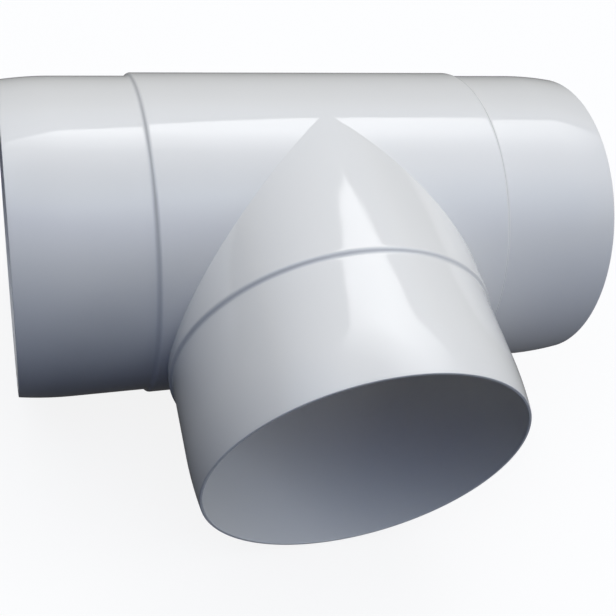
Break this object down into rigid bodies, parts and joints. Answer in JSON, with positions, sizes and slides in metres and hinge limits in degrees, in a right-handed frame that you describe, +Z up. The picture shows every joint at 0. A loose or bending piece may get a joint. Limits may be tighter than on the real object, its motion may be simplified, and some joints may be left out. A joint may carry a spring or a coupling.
{
  "type": "round duct tee",
  "caption": "Equal tee for round ventilation duct, moulded in one piece of white rigid plastic, with plain spigots that stop at a low shoulder.",
  "frame": {"origin": "the point where the axis of the run and the axis of the branch cross", "axes": "+X along the run, -Y out along the branch, +Z up, square to both axes, as the tee lies on a table"},
  "size_m": [0.186, 0.1438, 0.1016],
  "materials": {
    "white_plastic": "smooth glossy moulded white plastic"
  },
  "bodies": {
    "root": {"tee_body": "white_plastic"}
  },
  "joints": []
}
